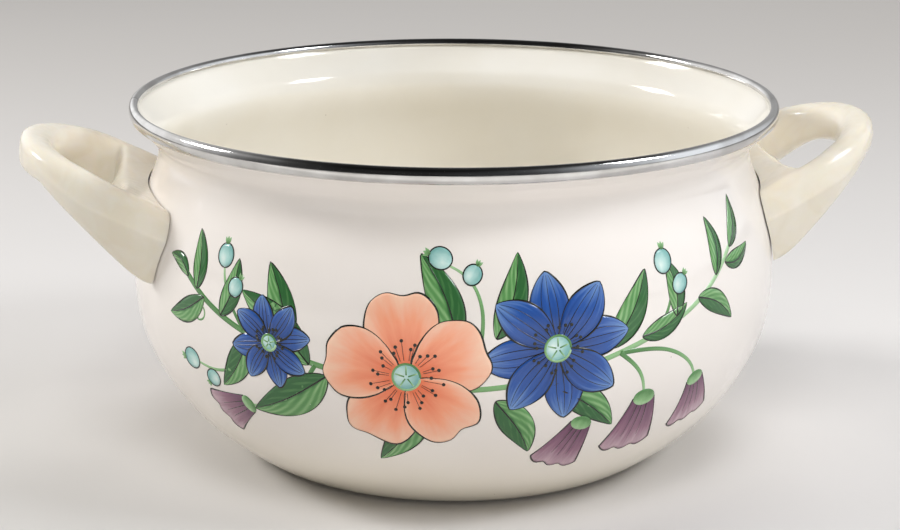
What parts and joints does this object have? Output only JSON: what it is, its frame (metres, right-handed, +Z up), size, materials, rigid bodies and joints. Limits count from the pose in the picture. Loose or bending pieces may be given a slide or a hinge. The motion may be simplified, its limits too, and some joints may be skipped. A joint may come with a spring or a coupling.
{
  "type": "stew pot",
  "caption": "Round-bellied enamelled steel stew pot with a flared lip, a rolled stainless rim band and upswept moulded loop handles, for simmering on a stovetop.",
  "frame": {"origin": "centre of the base, on the surface the pot stands on", "axes": "+Z up, X along the two handles, the front faces -Y"},
  "size_m": [0.2928, 0.2202, 0.1203],
  "materials": {
    "enamel": "glossy vitreous enamel, pinkish white outside and cream inside",
    "stainless": "polished, with fine scratches round the band",
    "handle_resin": "glossy cream moulded resin",
    "zinc_steel": "bright zinc plate"
  },
  "bodies": {
    "root": {"pot_body": "enamel", "rim_band": "stainless", "handle_left": "handle_resin", "handle_right": "handle_resin", "handle_bracket_left": "zinc_steel", "handle_bracket_right": "zinc_steel", "handle_screw_left": "zinc_steel", "handle_screw_right": "zinc_steel", "lock_washer_left": "zinc_steel", "lock_washer_right": "zinc_steel", "square_nut_left": "zinc_steel", "square_nut_right": "zinc_steel"}
  },
  "joints": []
}
